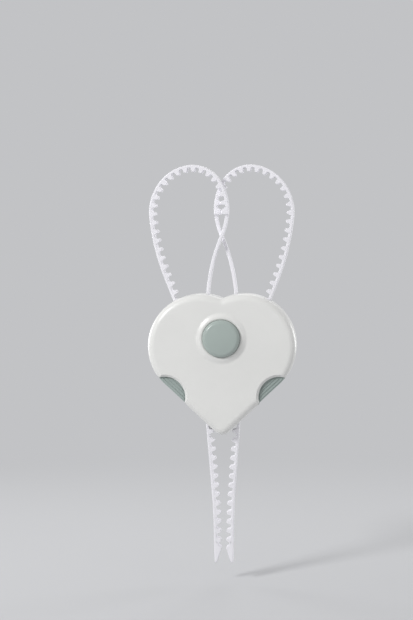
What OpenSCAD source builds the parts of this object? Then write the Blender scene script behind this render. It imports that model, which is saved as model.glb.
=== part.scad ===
// Cabinet safety lock: a heart shaped case whose two toothed straps loop round a pair of door knobs.
// X points to the right, Y to the back, where the door is, and Z up, as the lock hangs.
// The origin lies on the axis of the centre button, in the rear face. Depth counts forward from there.

/* [Case] */
// Radius of each upper lobe of the heart
lobe_r = 28.4; // [27.8:0.1:29]
// Distance of each lobe centre from the middle
lobe_x = 11.8; // [11.2:0.1:12.4]
// Drop of the lobe centres below the button axis
lobe_drop = 4.6; // [4.1:0.1:5.1]
// Radius of the lower tip
tip_r = 5.3; // [5.1:0.1:5.8]
// Drop of the tip centre below the button axis
tip_drop = 47.2; // [46.7:0.1:48]
// Thickness of the case from back to front
case_t = 20; // [19.6:0.1:22]
// Depth of the rear cover, which ends at the parting plane
rear_depth = 7; // [6.8:0.05:7.1]
// Wall thickness of both covers
wall = 2; // [1.8:0.05:2.2]
// Radius of the round along the front edge
front_round = 4; // [3:0.1:4.5]
// Set back of the rear face from the outline, and depth of that step
rear_step = 0.8; // [0.4:0.1:1.2]

/* [Centre button] */
// Radius of the round cap
cap_r = 10.1; // [9.6:0.1:10.4]
// How far the cap stands out of the front face
cap_rise = 4.2; // [3.8:0.1:5]
// Radius of the round along the rim of the cap
cap_round = 1.5; // [1:0.1:1.8]
// Radius of the shallow dome of the cap
dome_r = 64; // [50:1:90]
// Thickness of the cap and of its skirt
cap_wall = 1.8; // [1.5:0.1:2]
// Width of the retaining flange beyond the cap
flange_w = 1.7; // [1.4:0.1:1.8]
// Thickness of the retaining flange
flange_t = 1.5; // [1.2:0.1:1.8]
// Outer radius of the hollow stem
stem_r = 6; // [5.6:0.1:6.2]
// Bore radius of the stem, round the spring
stem_bore = 4.3; // [4.1:0.1:4.5]
// Travel of the centre button
press_travel = 3.4; // [3.2:0.05:3.45]
// Outer radius of the soft collar round the button
collar_r = 14.2; // [13.4:0.1:15]
// Height of the soft collar
collar_h = 1; // [0.6:0.1:1.4]

/* [Side buttons] */
// Radius of the finger scoop in the front face
scoop_r = 11.2; // [10.8:0.1:11.4]
// Distance of the scoop centre from the middle
scoop_x = 31; // [30.6:0.1:31.4]
// Drop of the scoop centre below the button axis
scoop_drop = 31.9; // [31.5:0.1:32.3]
// Width of the chamfer along the scoop
scoop_chamfer = 0.8; // [0.4:0.1:1.2]
// Drop of the upper end of a side button
pad_top_drop = 20; // [19.8:0.1:20.3]
// Drop of the lower end of a side button
pad_end_drop = 35.6; // [35.4:0.1:35.9]
// How far the button surface lies below the front face
pad_recess = 2.7; // [2.5:0.05:2.9]
// Set back of a side button from the outline of the case
pad_inset = 0.5; // [0.4:0.05:0.7]
// Travel of each side button
side_travel = 2.8; // [2.6:0.05:2.85]
// Height of the arms that pass the strap
arm_h = 3; // [2.6:0.1:3.2]
// Thickness of the arms that pass the strap
arm_t = 2.4; // [2:0.05:2.45]
// Thickness of the cross bar behind the strap teeth
bar_t = 2; // [1.8:0.05:2.05]
// Length of the cross bar
bar_h = 9.5; // [9:0.1:9.8]
// Height of a grip rib
rib_h = 0.4; // [0.3:0.05:0.45]
// Width of a grip rib
rib_w = 0.7; // [0.5:0.1:0.9]
// Spacing of the grip ribs
rib_pitch = 1.5; // [1.4:0.1:1.8]

/* [Straps] */
// Pitch of the strap teeth
pitch = 5; // [4.9:0.02:5.06]
// Height of a tooth
tooth_h = 2.4; // [2.2:0.05:2.45]
// Thickness of the spine that carries the teeth
spine_t = 1.5; // [1.4:0.05:1.55]
// Width of the strap from front to back
strap_w = 5; // [4.6:0.05:5.1]
// Thickness of the plain cord part
cord_t = 1.8; // [1.6:0.1:2.2]
// Width of the plain cord part from front to back
cord_w = 3; // [2.6:0.1:3.1]
// Number of teeth between the case and the plain cord part of a loop
loop_teeth = 33; // [31:1:34]
// Length of the plain block at the end of the loop teeth
block_l = 4.4; // [3.5:0.1:5]
// Mean bend radius of a loop
loop_r = 26; // [25.6:0.1:27]
// Straight run of a loop strap through the case and out of it
entry_run = 47; // [46:0.1:48]
// Radius of the gentle bend inside the case
guide_r = 40; // [38:0.5:42]
// Distance of the strap split from the middle
split_x = 11; // [10.9:0.05:11.1]
// Drop of the strap split below the button axis
split_drop = 24; // [23.8:0.1:24.2]
// Straight run of a tail
tail_run = 60; // [56:0.5:62]
// Length of the gentle bend of a tail
tail_bend = 20; // [16:0.5:24]
// Straight run at the end of a tail
tail_end = 20; // [15:0.5:22]
// Length of the plain tapered end of a tail
taper_l = 6.5; // [5:0.5:8]
// Thickness of the tail at its very end
taper_t = 1.2; // [0.9:0.1:1.4]

/* [Catches] */
// Radius of the round middle of the catch plate
plate_r = 9.2; // [9:0.1:9.6]
// Half the width of a plate arm
plate_arm_w = 3; // [2.6:0.1:3.4]
// Height of a pawl along the strap
pawl_h = 4; // [3.6:0.1:4.2]
// Width of a pawl from front to back
pawl_w = 4; // [3.6:0.1:4.2]

/* [Springs] */
// Wire radius of the centre spring
centre_wire_r = 0.3; // [0.25:0.05:0.35]
// Outer radius of the centre spring
centre_coil_r = 3.9; // [3.6:0.1:4]
// Number of coils of the centre spring
centre_coils = 9; // [7:1:10]
// Radius of the post that centres the spring
post_r = 2.6; // [2.2:0.1:2.8]
// Length of the post that centres the spring
post_l = 6; // [4:0.5:8]
// Wire radius of a side spring
side_wire_r = 0.25; // [0.2:0.05:0.3]
// Outer radius of a side spring
side_coil_r = 2.5; // [2.2:0.1:2.6]
// Number of coils of a side spring
side_coils = 6; // [5:1:7]
// Depth of the spring pocket in a side button
pocket_l = 4; // [3:0.1:4.4]

/* [Fasteners] */
// Shank radius of a cover screw
screw_r = 1.1; // [1:0.05:1.2]
// Head radius of a cover screw
head_r = 2.1; // [1.9:0.05:2.2]
// Head thickness of a cover screw
head_t = 1.4; // [1.2:0.1:1.5]
// Length of a cover screw
screw_l = 13; // [11:0.5:14]
// Radius of a screw boss
boss_r = 2.6; // [2.5:0.05:2.8]
// Distance of the outer screws from the middle
screw_x = 31; // [30:0.5:32]
// Drop of the outer screws below the button axis
screw_drop = 3; // [2:0.5:5]
// Height of the top screw above the button axis
top_screw_z = 16.8; // [16.6:0.1:17]
// Height of the lower screw above the tip centre
tip_screw_rise = 1.2; // [0.8:0.1:1.6]
// Radius of an anchor pin
pin_r = 1.5; // [1.4:0.05:1.6]
// Wall round the pin in the strap eyelet
eyelet_wall = 1.2; // [1:0.1:1.4]
// Shank radius of a plate screw
plate_screw_r = 0.7; // [0.6:0.05:0.8]
// Length of a plate screw
plate_screw_l = 6; // [5:0.5:8]
// Radius of a pawl pin
pawl_pin_r = 0.5; // [0.4:0.05:0.55]

/* [Clearances] */
// Clearance round a strap
strap_gap = 0.4; // [0.35:0.05:0.5]
// Clearance round a moving button
slide_gap = 0.3; // [0.25:0.05:0.4]
// Clearance round a pin or a screw
pin_gap = 0.05; // [0.03:0.01:0.08]
// Clearance between the two strap pieces
split_gap = 0.3; // [0.2:0.05:0.4]
// Clearance between the straps where they cross
cross_gap = 0.4; // [0.3:0.05:0.6]

/* [Hidden] */
$fn = 96;
over = 1; // How far a cut runs past the face it opens
tiny = 0.001;
flank_set = 0.05; // How far the flanks lie inside the tangents, so that they meet the discs cleanly

// Colours
white_plastic = "#dcdcd9";
strap_plastic = "#ecebf0";
grey_plastic = "#a3b1ab";
dark_plastic = "#8c9896";
inner_plastic = "#c9c4b6";
steel = "#b9bcc0";

// Strap angles in degrees: the heading at the split and the slant where the strap enters the case
tail_slant = 4.4;
entry_slant = 21.5;
tail_turn = -3.4;

// Bends of a loop after its straight run: radius as a share of loop_r, then the turn in degrees
loop_bend_shares = [[4.92, -15.6], [1.023, -52.4], [0.911, -36.6], [0.681, -63],
                    [1.115, -34.7], [1.39, -23], [3.63, 23.4]];

// One tooth as shares: along the pitch from one gap to the next, and up the tooth
tooth_shares = [[0, 0], [0.13, 0.02], [0.2, 0.14], [0.27, 0.42], [0.34, 0.75], [0.41, 0.94],
                [0.5, 1], [0.59, 0.94], [0.66, 0.75], [0.73, 0.42], [0.8, 0.14], [0.87, 0.02]];

// Half widths of a catch at its tip and at its root, as shares of the pitch
catch_tip_share = 0.07;
catch_root_share = 0.25;

// The gap of the tail, counted from its top, in which the pawl rests
pawl_index = 2;

// Heart outline
centre_gap = norm([lobe_x, tip_drop - lobe_drop]);
flank_normal = atan2(lobe_drop - tip_drop, lobe_x) - acos((lobe_r - tip_r) / centre_gap);
flank_l = sqrt(pow(centre_gap, 2) - pow(lobe_r - tip_r, 2));
lobe_c = [-lobe_x, -lobe_drop];
tip_c = [0, -tip_drop];

// Depths
strap_depth = case_t / 2;
strap_back = strap_depth - strap_w / 2;
strap_front = strap_depth + strap_w / 2;
strap_t = spine_t + tooth_h;
lid_depth = case_t - wall;
catch_front = strap_back + press_travel - slide_gap;
plate_t = rear_depth - wall - press_travel - 2 * pin_gap;
plate_front = rear_depth;
plate_back = plate_front - plate_t;

// Routes
function unit(a) = [cos(a), sin(a)];
function leg_end(mark, leg) =
    let (turn = leg[1],
         chord = abs(turn) < tiny ? leg[0] : leg[0] * sin(turn / 2) * 360 / (turn * PI),
         p = [mark[0], mark[1]] + chord * unit(mark[2] + turn / 2))
    [p[0], p[1], mark[2] + turn, mark[3] + leg[0]];
function marks(start, legs, i = 0) =
    i == len(legs) ? [start] : concat([start], marks(leg_end(start, legs[i]), legs, i + 1));
function spot(route, s) =
    let (m = route[0], legs = route[1],
         i = max([for (k = [0 : len(legs) - 1]) if (k == 0 || m[k][3] <= s) k]),
         part = s - m[i][3])
    leg_end(m[i], [part, legs[i][1] * part / legs[i][0]]);
function beside(route, s, d) =
    let (m = spot(route, s))
    [m[0] + d * sin(m[2]), m[1] - d * cos(m[2])];
function route_of(start, legs) = [marks(start, legs), legs];
function route_l(route) = route[0][len(route[1])][3];

loop_start = [-split_x, -split_drop, 90 + tail_slant, 0];
bend_turn = entry_slant - tail_slant;
loop_legs = concat([[guide_r * bend_turn * PI / 180, bend_turn], [entry_run, 0]],
                   [for (b = loop_bend_shares) [loop_r * b[0] * abs(b[1]) * PI / 180, b[1]]]);
loop_route = route_of(loop_start, loop_legs);
loop_l = route_l(loop_route);
tail_start = [-split_x, -split_drop, tail_slant - 90, 0];
tail_legs = [[tail_run, 0], [tail_bend, tail_turn], [tail_end, 0]];
tail_route = route_of(tail_start, tail_legs);
tail_l = route_l(tail_route);

// The point of the straight run nearest to the button axis, where the plate catch engages
run_mark = loop_route[0][1];
run_dir = unit(90 + entry_slant);
catch_s = run_mark[3] - (run_mark[0] * run_dir[0] + run_mark[1] * run_dir[1]);
catch_foot = beside(loop_route, catch_s, strap_t);
catch_dir = 180 + entry_slant;
catch_root = norm(catch_foot);
first_gap = catch_s - pitch * floor(catch_s / pitch);
block_s = first_gap + loop_teeth * pitch;

// The lean about the straight run that lets the left and right straps cross without touching
function run_reach(p) =
    (p[0] - run_mark[0]) * cos(entry_slant) + (p[1] - run_mark[1]) * sin(entry_slant);
lean = asin((strap_w + cross_gap) / 2 / run_reach(beside(loop_route, block_s, strap_t)));
anchor_c = beside(loop_route, loop_l, cord_t / 2);
entry_s = run_mark[3] + entry_run;
eyelet_bore = pin_r + 4 * pin_gap;
cord_lean = sin(lean) * run_reach(anchor_c);
slot_l = entry_run / 3;

// Places inside the case
cap_top = case_t + cap_rise;
flange_back = lid_depth - slide_gap - flange_t;
plate_screw_z = (stem_r + cap_r - cap_wall) / 2;
plate_boss_r = plate_screw_r + cap_wall / 2;
pad_back = rear_depth + strap_gap;
pad_front = case_t - pad_recess;
arm_gap = strap_gap + slide_gap;
pad_inner_x = split_x + arm_gap + side_travel + arm_t;
rail_t = wall * 2 / 3;
screw_places = [[-screw_x, -screw_drop], [screw_x, -screw_drop],
                [0, top_screw_z], [0, tip_screw_rise - tip_drop]];
pawl_s = pawl_index * pitch;
pawl_z = spot(tail_route, pawl_s)[1];
bar_end_z = pawl_z - pawl_h;
arm_top_z = bar_end_z + bar_h;
bar_outer = beside(tail_route, (-bar_end_z - split_drop) / cos(tail_slant), -strap_t)[0] + strap_gap;
bar_mid = bar_outer + bar_t / 2;
spring_depth = strap_depth + over;
rail_front = spring_depth + side_coil_r + slide_gap;
spring_seat = beside(tail_route, 0, strap_gap + rail_t)[0];

// Shapes that several pieces share
module slab(back, front) {
    translate([0, -back, 0]) rotate([90, 0, 0]) linear_extrude(front - back) children();
}

module rod(x, z, r, back, front) {
    translate([x, -back, z]) rotate([90, 0, 0]) cylinder(h = front - back, r = r);
}

module both_sides() {
    children();
    mirror([1, 0, 0]) children();
}

// Half section of a disc whose far edge is rounded
module edge_profile(r, h, edge) {
    square([r, h - edge]);
    square([r - edge, h]);
    translate([r - edge, h - edge]) intersection() {
        circle(edge);
        square(edge);
    }
}

module turned_disc(c) {
    translate([c[0], 0, c[1]]) rotate([90, 0, 0]) rotate_extrude() children();
}

// Heart shaped block from the plane y = 0 forward, with its front edge rounded
module heart_block(h, edge) {
    core = lobe_c + (lobe_r - tip_r + over - edge) * unit(flank_normal);
    high = lobe_c + [0, tip_r];
    low = tip_c + [0, (over - edge) / sin(flank_normal)];
    slab(0, h) polygon([high, core, low, [-core[0], core[1]], [-high[0], high[1]]]);
    turned_disc(tip_c) edge_profile(tip_r, h, edge);
    both_sides() {
        turned_disc(lobe_c) edge_profile(lobe_r, h, edge);
        flank_prism() {
            edge_profile(tip_r - flank_set, h, edge);
            translate([-edge, 0]) square([edge + over, h]);
        }
    }
}

// Straight lower side of the heart with the section of its children, X outward and Y forward
module flank_prism() {
    translate([tip_c[0], 0, tip_c[1]]) rotate([0, -flank_normal, 0]) rotate([180, 0, 0])
        linear_extrude(flank_l) children();
}

// Flat heart outline, drawn with X across and Y up
module heart_outline(inset) {
    top_r = lobe_r - inset;
    low_r = max(tip_r - inset, 2 * flank_set);
    high = lobe_c + (top_r - flank_set) * unit(flank_normal);
    low = tip_c + (low_r - flank_set) * unit(flank_normal);
    for (side = [-1, 1]) translate([side * lobe_c[0], lobe_c[1]]) circle(top_r);
    translate(tip_c) circle(low_r);
    polygon([lobe_c, high, low, [-low[0], low[1]], [-high[0], high[1]], [-lobe_c[0], lobe_c[1]]]);
}

// Outline of a strip along a route, between two offsets from it
function strip(route, from, to, near, far) =
    let (n = ceil((to - from) / pitch * 2))
    concat([for (i = [0 : n]) beside(route, from + (to - from) * i / n, near)],
           [for (i = [n : -1 : 0]) beside(route, from + (to - from) * i / n, far)]);

// Points of a row of teeth, read backwards so that they close the outline of the spine
function teeth_back(route, first, count, side) =
    [for (i = [count - 1 : -1 : 0], k = [len(tooth_shares) - 1 : -1 : 0])
        let (share = tooth_shares[k], s = max(split_gap, first + (i + share[0]) * pitch))
        beside(route, s, side * tooth_top(share))];

function tooth_top(share) = spine_t + tooth_h * share[1];

function spine_edge(route, to) =
    let (n = ceil(to / pitch * 2))
    [for (i = [0 : n]) beside(route, max(split_gap, to * i / n), 0)];

module loop_outline() {
    block_end = block_s + block_l;
    polygon(concat(spine_edge(loop_route, block_end),
                   [beside(loop_route, block_end, strap_t),
                    beside(loop_route, block_s + pitch / 2, strap_t), beside(loop_route, block_s, spine_t)],
                   teeth_back(loop_route, first_gap, loop_teeth, 1),
                   [beside(loop_route, split_gap, spine_t)]));
}

module cord_outline() {
    difference() {
        union() {
            polygon(strip(loop_route, block_s + block_l - over, loop_l, 0, cord_t));
            translate(anchor_c) circle(eyelet_bore + eyelet_wall);
        }
        translate(anchor_c) circle(eyelet_bore);
    }
}

module strap_loop(side) {
    pivot = [run_mark[0], -strap_depth, run_mark[1]];
    translate(pivot) rotate(side * lean, [run_dir[0], 0, run_dir[1]]) translate(-pivot) {
        slab(strap_back, strap_front) loop_outline();
        slab(strap_depth - cord_w / 2, strap_depth + cord_w / 2) cord_outline();
    }
}

module strap_tail() {
    count = floor((tail_l - taper_l) / pitch);
    slab(strap_back, strap_front)
        polygon(concat(spine_edge(tail_route, tail_l),
                       [beside(tail_route, tail_l, -taper_t)],
                       [for (k = [len(tooth_shares) / 2 : -1 : 1])
                           let (share = tooth_shares[k])
                           beside(tail_route, (count + share[0]) * pitch, -tooth_top(share))],
                       teeth_back(tail_route, 0, count, -1)));
}

module pin_at(side) {
    rod(side * anchor_c[0], anchor_c[1], pin_r, wall + pin_gap, lid_depth - pin_gap);
}

module strap_cuts() {
    slab(rear_depth - over, strap_front + strap_gap) {
        polygon(strip(loop_route, entry_s - slot_l, entry_s, -strap_gap, strap_t + strap_gap));
        polygon(strip(tail_route, tail_run / 4, tail_run / 2 + pitch, strap_gap, -strap_t - strap_gap));
    }
    slab(rear_depth - over, strap_depth + cord_lean * 3 / 2 + cord_w / 2 + strap_gap)
        polygon(strip(loop_route, loop_l - slot_l, loop_l, -strap_gap, cord_t + strap_gap));
}

module scoop_cuts() {
    rod(-scoop_x, -scoop_drop, scoop_r, lid_depth - over, case_t + over);
    translate([-scoop_x, scoop_chamfer - case_t, -scoop_drop])
        rotate([90, 0, 0]) cylinder(h = 2 * scoop_chamfer, r1 = scoop_r, r2 = scoop_r + 2 * scoop_chamfer);
    slab(rear_depth - over, lid_depth)
        translate([-scoop_x - scoop_r, -pad_end_drop - slide_gap])
            square([scoop_r + scoop_x - pad_inner_x + side_travel,
                    pad_end_drop - pad_top_drop + 2 * slide_gap]);
}

module collar() {
    bore = cap_r + slide_gap;
    collar_shares = [[0, 0], [1, 0], [0.84, 0.3], [0.5, 0.82], [0.2, 1], [0, 0.86]];
    translate([0, -case_t, 0]) rotate([90, 0, 0]) rotate_extrude()
        translate([bore, -over])
            polygon([for (s = collar_shares)
                [s[0] * (collar_r - bore), s[1] * collar_h + (s[1] > 0 ? over : 0)]]);
}

module front_cover() color(white_plastic) {
    difference() {
        union() {
            translate([0, -rear_depth, 0]) difference() {
                heart_block(case_t - rear_depth, front_round);
                slab(-over, lid_depth - rear_depth) heart_outline(wall);
            }
            for (c = screw_places) rod(c[0], c[1], boss_r, rear_depth, lid_depth + tiny);
            both_sides()
                rod(anchor_c[0], anchor_c[1], pin_r + eyelet_wall,
                    strap_front + strap_gap, lid_depth + tiny);
            collar();
        }
        rod(0, 0, cap_r + slide_gap, lid_depth - over, cap_top);
        both_sides() {
            strap_cuts();
            scoop_cuts();
            rod(anchor_c[0], anchor_c[1], pin_r + pin_gap, rear_depth, lid_depth);
        }
        for (c = screw_places) rod(c[0], c[1], screw_r + pin_gap, rear_depth - over, screw_l + wall);
    }
}

module rear_cover() color(white_plastic) {
    difference() {
        union() {
            difference() {
                union() {
                    slab(0, rear_depth) heart_outline(rear_step);
                    slab(rear_step, rear_depth) heart_outline(0);
                }
                slab(wall, rear_depth + over) heart_outline(wall);
            }
            for (c = screw_places) rod(c[0], c[1], boss_r, wall - tiny, rear_depth);
            rod(0, 0, post_r, wall - tiny, wall + post_l);
            both_sides() {
                rod(anchor_c[0], anchor_c[1], pin_r + eyelet_wall, wall - tiny, rear_depth);
                slab(wall - tiny, strap_front)
                    polygon(strip(loop_route, run_mark[3] + over, run_mark[3] + entry_run / 2,
                                  -strap_gap - rail_t, -strap_gap));
                slab(wall - tiny, rail_front)
                    polygon(strip(tail_route, -pitch * 2 / 3, pitch * 2 / 3, strap_gap, strap_gap + rail_t));
            }
        }
        for (c = screw_places) {
            rod(c[0], c[1], screw_r + slide_gap, -over, rear_depth + over);
            rod(c[0], c[1], head_r + slide_gap, -over, head_t + slide_gap);
        }
        both_sides() rod(anchor_c[0], anchor_c[1], pin_r + pin_gap, wall, rear_depth + over);
    }
}

// Screw from the back: head, shank and a cross recess
module screw(c, head, shank, thick, length, back) {
    difference() {
        union() {
            rod(c[0], c[1], head, back, back + thick);
            rod(c[0], c[1], shank, back + thick - tiny, back + length);
        }
        slab(back - over, back + thick / 2) translate(c) {
            square([head, shank / 2], center = true);
            square([shank / 2, head], center = true);
        }
    }
}

module cover_screws() color(steel)
    for (c = screw_places) screw(c, head_r, screw_r, head_t, screw_l, slide_gap);

module centre_button() color(grey_plastic) {
    difference() {
        union() {
            translate([0, -flange_back, 0]) rotate([90, 0, 0]) rotate_extrude() button_section();
            for (z = [-plate_screw_z, plate_screw_z])
                rod(0, z, plate_boss_r, plate_front, cap_top - 2 * cap_wall + tiny);
        }
        for (z = [-plate_screw_z, plate_screw_z])
            rod(0, z, plate_screw_r + pin_gap, plate_front - over, plate_front + plate_screw_l);
        rod(0, 0, stem_bore, plate_front - over, cap_top - 2 * cap_wall);
    }
}

module button_section() {
    cap_h = cap_top - flange_back;
    hollow_h = cap_h - 2 * cap_wall;
    difference() {
        intersection() {
            edge_profile(cap_r, cap_h, cap_round);
            translate([0, cap_h - dome_r]) circle(dome_r, $fn = 360);
        }
        translate([0, -over]) square([cap_r - cap_wall, hollow_h + over]);
    }
    translate([cap_r - cap_wall, 0]) square([cap_wall + flange_w, flange_t]);
    translate([stem_bore - tiny, plate_front - flange_back])
        square([stem_r - stem_bore, hollow_h + flange_back - plate_front + tiny]);
}

module catch_plate() color(inner_plastic) {
    tip = catch_root + tooth_h - slide_gap * 1.5;
    base = catch_root - strap_gap;
    difference() {
        union() {
            rod(0, 0, plate_r, plate_back, plate_front);
            both_sides() {
                slab(plate_back, plate_front) rotate(catch_dir)
                    translate([0, -plate_arm_w]) square([tip, 2 * plate_arm_w]);
                slab(plate_back, catch_front) rotate(catch_dir)
                    polygon([[base - plate_t, -catch_root_share * pitch], [base, -catch_root_share * pitch],
                             [tip, -catch_tip_share * pitch], [tip, catch_tip_share * pitch],
                             [base, catch_root_share * pitch], [base - plate_t, catch_root_share * pitch]]);
            }
        }
        rod(0, 0, stem_bore, plate_back - over, plate_front + over);
        for (z = [-plate_screw_z, plate_screw_z]) {
            rod(0, z, plate_screw_r + pin_gap, plate_back - over, plate_front + over);
            rod(0, z, 2 * plate_screw_r + pin_gap, plate_back - over, plate_back + plate_screw_r + pin_gap);
        }
    }
}

module plate_screws() color(steel)
    for (z = [-plate_screw_z, plate_screw_z])
        screw([0, z], 2 * plate_screw_r, plate_screw_r, plate_screw_r, plate_screw_l, plate_back + pin_gap);

// Helical spring along Z: one unbroken tube of six sides with eight rings to a turn
module coil(coils, coil_r, wire_r, length) {
    rings = 8 * coils;
    sides = 6;
    mean = coil_r - wire_r;
    rise = length - 2 * wire_r;
    points = [for (i = [0 : rings], k = [0 : sides - 1])
        let (a = 360 * i / 8, w = 360 * k / sides, r = mean + wire_r * cos(w))
        [r * cos(a), r * sin(a), wire_r + rise * i / rings + wire_r * sin(w)]];
    around = [for (i = [0 : rings - 1], k = [0 : sides - 1])
        let (b = i * sides + k, n = i * sides + (k + 1) % sides)
        each [[b, b + sides, n], [n, b + sides, n + sides]]];
    caps = [[for (k = [0 : sides - 1]) k], [for (k = [sides - 1 : -1 : 0]) rings * sides + k]];
    polyhedron(points, concat(around, caps));
    echo(least_coil_gap = rise / coils - 2 * wire_r);
}

module centre_spring() color(steel)
    translate([0, -wall, 0]) rotate([90, 0, 0])
        coil(centre_coils, centre_coil_r, centre_wire_r, cap_top - 2 * cap_wall - wall);

module side_spring() color(steel)
    translate([-pad_inner_x - pocket_l, -spring_depth, -split_drop]) rotate([0, 90, 0])
        coil(side_coils, side_coil_r, side_wire_r, spring_seat + pad_inner_x + pocket_l - tiny);

// Box in the front plane between two opposite corners
module box2(a, b) {
    translate(a) square(b - a);
}

module side_button() color(dark_plastic) {
    difference() {
        union() {
            slab(pad_back, pad_front) pad_outline(pad_inset);
            pad_ribs();
            slab(strap_back - arm_gap - arm_t, strap_front + arm_gap + arm_t) {
                box2([-pad_inner_x - over, arm_top_z - arm_h], [-pad_inner_x + arm_t, arm_top_z]);
                box2([bar_outer, bar_end_z], [bar_outer + bar_t, arm_top_z]);
            }
            for (back = [strap_back - arm_gap - arm_t, strap_front + arm_gap])
                slab(back, back + arm_t)
                    box2([-pad_inner_x, arm_top_z - arm_h], [bar_outer + over, arm_top_z]);
        }
        slab(strap_depth - pawl_w / 2, strap_depth + pawl_w / 2)
            box2([bar_outer - over, pawl_z - pawl_h / 2], [bar_outer + bar_t + over, pawl_z + pawl_h / 2]);
        translate([bar_mid, -strap_depth, bar_end_z - over])
            cylinder(h = 2 * pawl_h + over, r = pawl_pin_r + pin_gap);
        translate([-pad_inner_x - pocket_l, -spring_depth, -split_drop])
            rotate([0, 90, 0]) cylinder(h = pocket_l + over, r = side_coil_r + slide_gap);
    }
}

module pad_outline(inset) {
    intersection() {
        heart_outline(inset);
        box2([-scoop_x - scoop_r, -pad_end_drop], [-pad_inner_x, -pad_top_drop]);
    }
}

module pad_ribs() {
    slab(pad_front - tiny, pad_front + rib_h) intersection() {
        translate([-scoop_x, -scoop_drop]) circle(scoop_r - scoop_chamfer);
        for (k = [1 : 3]) difference() {
            pad_outline(pad_inset + k * rib_pitch - rib_w);
            pad_outline(pad_inset + k * rib_pitch);
        }
    }
}

module pawl() color(inner_plastic) {
    half = pawl_h / 2 - pin_gap;
    root = catch_root_share * pitch;
    point = catch_tip_share * pitch;
    difference() {
        slab(strap_depth - pawl_w / 2 + pin_gap, strap_depth + pawl_w / 2 - pin_gap) {
            box2([bar_outer, pawl_z - half], [bar_outer + bar_t, pawl_z + half]);
            polygon([[bar_outer + tiny, pawl_z - half], [bar_outer + tiny, pawl_z + half],
                     beside(tail_route, pawl_s - root, -strap_t),
                     beside(tail_route, pawl_s - point, -spine_t - slide_gap),
                     beside(tail_route, pawl_s + point, -spine_t - slide_gap),
                     beside(tail_route, pawl_s + root, -strap_t)]);
        }
        translate([bar_mid, -strap_depth, pawl_z - pawl_h])
            cylinder(h = 2 * pawl_h, r = pawl_pin_r + pin_gap);
    }
}

module pawl_pin() color(steel)
    translate([bar_mid, -strap_depth, bar_end_z]) cylinder(h = 2 * pawl_h - pin_gap, r = pawl_pin_r);

front_cover();
rear_cover();
cover_screws();
color(strap_plastic) strap_loop(-1);  // left_strap_loop
color(strap_plastic) mirror([1, 0, 0]) strap_loop(1);  // right_strap_loop
color(strap_plastic) strap_tail();  // left_strap_tail
color(strap_plastic) mirror([1, 0, 0]) strap_tail();  // right_strap_tail
color(steel) pin_at(1);  // left_anchor_pin
color(steel) pin_at(-1);  // right_anchor_pin
centre_button();
catch_plate();
plate_screws();
centre_spring();
side_button();  // left_side_button
mirror([1, 0, 0]) side_button();  // right_side_button
pawl();  // left_pawl
mirror([1, 0, 0]) pawl();  // right_pawl
pawl_pin();  // left_pawl_pin
mirror([1, 0, 0]) pawl_pin();  // right_pawl_pin
side_spring();  // left_side_spring
mirror([1, 0, 0]) side_spring();  // right_side_spring
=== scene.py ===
"""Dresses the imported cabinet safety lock: covers, release buttons, toothed straps and the parts inside."""
import math

import bmesh
import bpy
from bpy.props import FloatProperty, FloatVectorProperty, PointerProperty
from bpy.types import Operator, Panel, PropertyGroup
from mathutils import Euler, Matrix, Vector


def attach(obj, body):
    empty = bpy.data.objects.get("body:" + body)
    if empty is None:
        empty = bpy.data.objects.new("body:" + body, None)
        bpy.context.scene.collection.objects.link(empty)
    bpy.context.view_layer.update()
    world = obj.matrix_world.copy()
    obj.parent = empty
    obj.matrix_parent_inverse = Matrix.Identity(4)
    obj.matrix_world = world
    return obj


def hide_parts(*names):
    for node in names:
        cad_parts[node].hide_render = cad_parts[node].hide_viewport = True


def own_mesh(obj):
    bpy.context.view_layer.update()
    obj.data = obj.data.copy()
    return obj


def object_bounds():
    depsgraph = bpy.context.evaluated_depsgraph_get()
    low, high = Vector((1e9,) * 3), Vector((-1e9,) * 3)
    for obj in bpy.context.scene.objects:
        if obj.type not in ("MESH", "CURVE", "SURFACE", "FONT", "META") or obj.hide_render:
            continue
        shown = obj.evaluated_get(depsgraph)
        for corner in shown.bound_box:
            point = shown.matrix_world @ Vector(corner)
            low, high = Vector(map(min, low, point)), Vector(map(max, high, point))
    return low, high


bl_info = {
    "name": "Cabinet safety lock",
    "version": (1, 0, 0),
    "blender": (4, 5, 0),
    "location": "3D View > Sidebar > Safety lock",
    "description": "Covers, release buttons, toothed straps and fasteners of a cabinet safety lock",
    "category": "Object",
}

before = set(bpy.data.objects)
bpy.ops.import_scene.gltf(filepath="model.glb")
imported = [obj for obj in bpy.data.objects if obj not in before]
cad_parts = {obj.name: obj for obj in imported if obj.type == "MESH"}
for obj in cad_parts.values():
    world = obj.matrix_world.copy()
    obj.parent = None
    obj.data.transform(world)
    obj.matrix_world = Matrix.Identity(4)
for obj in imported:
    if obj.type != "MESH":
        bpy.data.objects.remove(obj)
CAD_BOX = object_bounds()
MM = 0.001
FINISH = "_finish"
DRESSED = "_dressed"

# Routes and teeth of the straps, which match the solids, in millimetres and degrees: X across, Z up
STRAP_DEPTH = 10.0
SPLIT = (-11.0, -24.0)
TAIL_SLANT = 4.4
ENTRY_SLANT = 21.5
GUIDE_RADIUS = 40.0
ENTRY_RUN = 47.0
LOOP_RADIUS = 26.0
LOOP_BENDS = ((4.92, -15.6), (1.023, -52.4), (0.911, -36.6), (0.681, -63.0), (1.115, -34.7), (1.39, -23.0),
              (3.63, 23.4))
TAIL_LEGS = ((60.0, 0.0), (20.0, -3.4), (20.0, 0.0))
LOOP_TEETH = 33
BLOCK_LENGTH = 4.4
CROSS_GAP = 0.4
SPLIT_GAP = 0.3
TAIL_TAPER = 6.5
TAIL_RISE = 2.0
TAIL_TIP = 1.2
TAIL_ROUND = 0.6
SECTION_STEP = 2.5
CORD_SECTIONS = 26

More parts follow.
